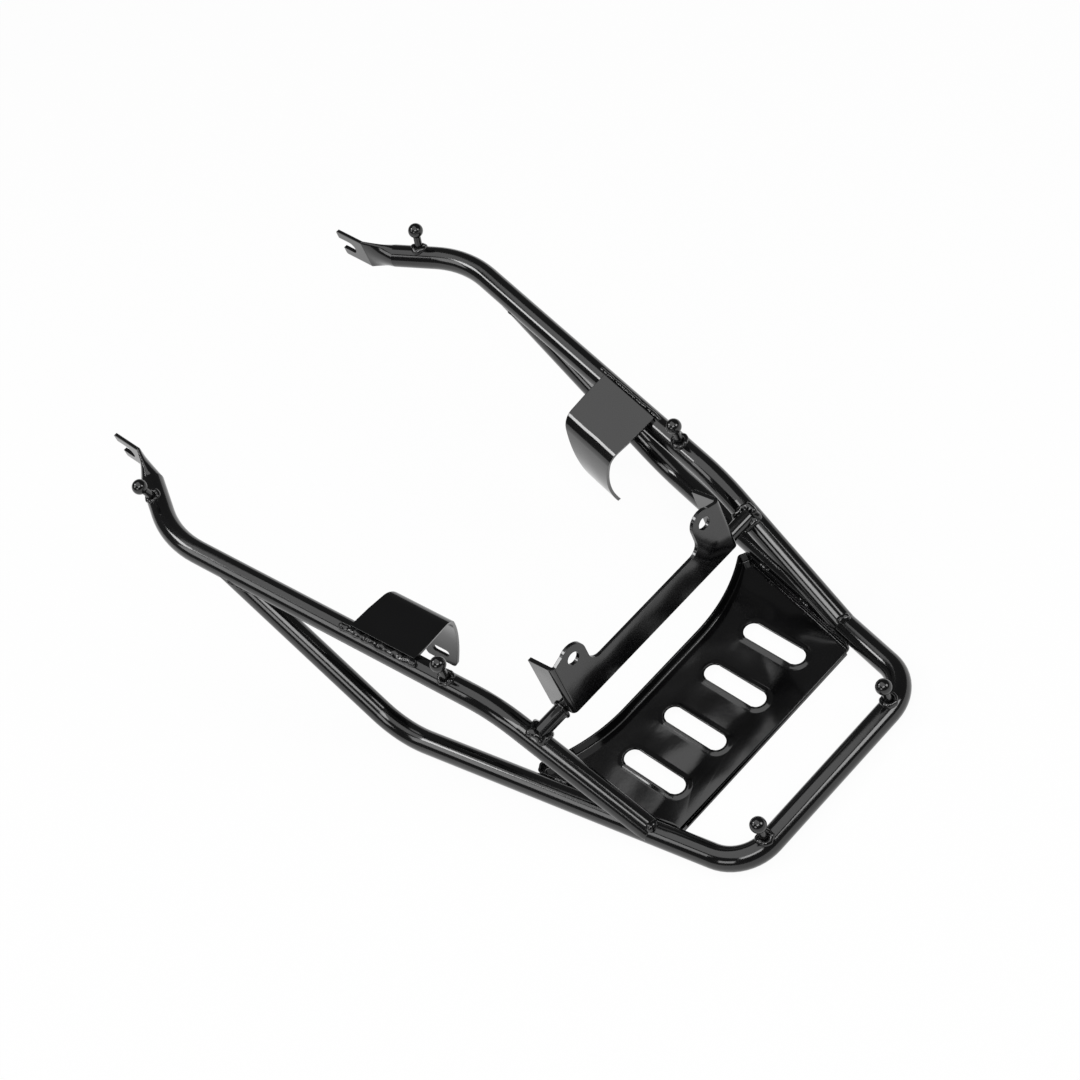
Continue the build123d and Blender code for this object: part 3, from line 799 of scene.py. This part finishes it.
class RACK_OT_weld_stubs(Operator):
    """Lay the beads at both ends of the stub rods"""
    bl_idname = "rack.weld_stubs"
    bl_label = "Weld Stub Rods"

    def execute(self, context):
        welds = context.scene.rack_welds
        outer = meeting_path(STUB_END, STUB_RUN, STUB_R, TAIL_JOINT, TAIL_RUN, TUBE_R)
        inner = circle_path(STUB_START - STUB_RUN * welds.flange_radius / 2, STUB_RUN, STUB_R)
        for name, side in SIDES.items():
            path = on_side(outer, side)
            lay_bead(f"stub_tube_ring_{name}", f"stub_tube_weld_{name}", path, welds.stub_radius)
            path = on_side(inner, side)
            lay_bead(f"stub_flange_ring_{name}", f"stub_flange_weld_{name}", path, welds.flange_radius)
        return {"FINISHED"}


class RACK_OT_weld_deck(Operator):
    """Lay the short tacks between the deck's walls and the rails"""
    bl_idname = "rack.weld_deck"
    bl_label = "Weld Deck"

    def execute(self, context):
        radius = context.scene.rack_welds.tack_radius
        for place, middle in DECK_TACKS.items():
            ends = [middle - RAIL_RUN * DECK_TACK_REACH, middle + RAIL_RUN * DECK_TACK_REACH]
            for name, side in SIDES.items():
                path = on_side(ends, side)
                spot = f"{place}_{name}"
                lay_bead(f"deck_tack_{spot}", f"deck_weld_{spot}", path, radius, closed=False)
        return {"FINISHED"}


# Stage: floor, world, lamps and camera


def floor_material(stage):
    """Pale floor that looks white and keeps a faint shadow."""
    material = bpy.data.materials.new("studio_floor")
    material.use_nodes = True
    tree = material.node_tree
    shader = tree.nodes["Principled BSDF"]
    shader.inputs["Base Color"].default_value = (*stage.floor_colour, 1)
    shader.inputs["Roughness"].default_value = FLOOR_ROUGHNESS
    white = put(tree, "ShaderNodeEmission")
    rays = put(tree, "ShaderNodeLightPath").outputs
    seen = math_node(tree, "MAXIMUM", rays["Is Camera Ray"], rays["Is Glossy Ray"])
    seen = math_node(tree, "MAXIMUM", seen, rays["Is Transmission Ray"])
    share = math_node(tree, "MULTIPLY", seen, stage.floor_white)
    mix = put(tree, "ShaderNodeMixShader")
    tree.links.new(share, mix.inputs[0])
    tree.links.new(shader.outputs[0], mix.inputs[1])
    tree.links.new(white.outputs[0], mix.inputs[2])
    tree.links.new(mix.outputs[0], tree.nodes["Material Output"].inputs["Surface"])
    return material


def make_floor(stage):
    """Wide flat floor under the rack."""
    reach = stage.floor_reach
    corners = [(-reach, -reach, 0), (reach, -reach, 0), (reach, reach, 0), (-reach, reach, 0)]
    mesh = bpy.data.meshes.new("floor")
    mesh.from_pydata(corners, [], [(0, 1, 2, 3)])
    mesh.materials.append(floor_material(stage))
    floor = bpy.data.objects.new("floor", mesh)
    bpy.context.scene.collection.objects.link(floor)


def make_world(stage):
    """Dim studio walls that grow pale toward the floor."""
    world = bpy.data.worlds.new("studio")
    bpy.context.scene.world = world
    world.use_nodes = True
    tree = world.node_tree
    height = put(tree, "ShaderNodeSeparateXYZ")
    tree.links.new(put(tree, "ShaderNodeTexCoord").outputs["Generated"], height.inputs[0])
    slope = height.outputs["Z"]
    level = ranged(tree, slope, 0.0, stage.horizon_rise, stage.horizon_level, stage.wall_level)
    tree.links.new(level, tree.nodes["Background"].inputs["Strength"])
    tree.nodes["Background"].inputs["Color"].default_value = (1, 1, 1, 1)


def add_lamp(name, direction, distance, width, height, level):
    """Soft lamp that faces the rack from a direction; level is its brightness against white."""
    data = bpy.data.lights.new(name, "AREA")
    data.shape = "RECTANGLE"
    data.size = width
    data.size_y = height
    data.energy = level * pi * width * height * bpy.context.scene.rack_stage.lamp_level
    lamp = bpy.data.objects.new(name, data)
    way = Vector(direction).normalized()
    level_up = FORWARD if way.z > STEEP else UP
    across = level_up.cross(way).normalized()
    lamp.matrix_world = Matrix.Translation(AIM + way * distance) @ Matrix(
        (across, way.cross(across), way)).transposed().to_4x4()
    lamp.visible_camera = False
    bpy.context.scene.collection.objects.link(lamp)


def add_camera(stage):
    """Camera at the viewpoint of the photograph."""
    data = bpy.data.cameras.new("camera")
    data.sensor_width = SENSOR
    data.lens = stage.lens
    camera = bpy.data.objects.new("camera", data)
    up = CAMERA_RIGHT.cross(CAMERA_FORWARD).normalized()
    right = CAMERA_FORWARD.cross(up)
    camera.matrix_world = Matrix.Translation(CAMERA_PLACE) @ Matrix(
        (right, up, -CAMERA_FORWARD)).transposed().to_4x4()
    bpy.context.scene.collection.objects.link(camera)
    bpy.context.scene.camera = camera


class RACK_OT_set_stage(Operator):
    """Make the floor, the studio, the lamps and the camera"""
    bl_idname = "rack.set_stage"
    bl_label = "Set Stage"

    def execute(self, context):
        stage = context.scene.rack_stage
        make_floor(stage)
        make_world(stage)
        for name, lamp in LAMPS.items():
            add_lamp(name, **lamp)
        add_camera(stage)
        context.scene.view_settings.view_transform = "Standard"
        return {"FINISHED"}


class RACK_PT_looks(Panel):
    """Sidebar panel with the rack's steps and settings"""
    bl_idname = "RACK_PT_looks"
    bl_label = "Luggage Rack"
    bl_space_type = "VIEW_3D"
    bl_region_type = "UI"
    bl_category = "Rack"

    def draw(self, context):
        for step in STEPS:
            self.layout.operator(step.bl_idname)
        scene = context.scene
        for group in (scene.rack_paint, scene.rack_deck, scene.rack_welds, scene.rack_stage):
            box = self.layout.box()
            for name in group.__annotations__:
                box.prop(group, name)


STEPS = (
    RACK_OT_paint_tubes,
    RACK_OT_paint_sheets,
    RACK_OT_press_deck,
    RACK_OT_weld_saddles,
    RACK_OT_weld_pegs,
    RACK_OT_weld_joints,
    RACK_OT_weld_stubs,
    RACK_OT_weld_deck,
    RACK_OT_set_stage,
)
CLASSES = (PaintSettings, DeckSettings, WeldSettings, StageSettings, *STEPS, RACK_PT_looks)


def register():
    """Register the classes and hang their settings on the scene."""
    for cls in CLASSES:
        bpy.utils.register_class(cls)
    bpy.types.Scene.rack_paint = PointerProperty(type=PaintSettings)
    bpy.types.Scene.rack_deck = PointerProperty(type=DeckSettings)
    bpy.types.Scene.rack_welds = PointerProperty(type=WeldSettings)
    bpy.types.Scene.rack_stage = PointerProperty(type=StageSettings)


def unregister():
    """Take the settings and the classes away again."""
    del bpy.types.Scene.rack_stage
    del bpy.types.Scene.rack_welds
    del bpy.types.Scene.rack_deck
    del bpy.types.Scene.rack_paint
    for cls in reversed(CLASSES):
        bpy.utils.unregister_class(cls)


def main():
    register()
    bpy.ops.rack.paint_tubes()
    bpy.ops.rack.paint_sheets()
    bpy.ops.rack.press_deck()
    bpy.ops.rack.weld_saddles()
    bpy.ops.rack.weld_pegs()
    bpy.ops.rack.weld_joints()
    bpy.ops.rack.weld_stubs()
    bpy.ops.rack.weld_deck()
    bpy.ops.rack.set_stage()
    bpy.context.view_layer.update()


if __name__ == "__main__":
    main()
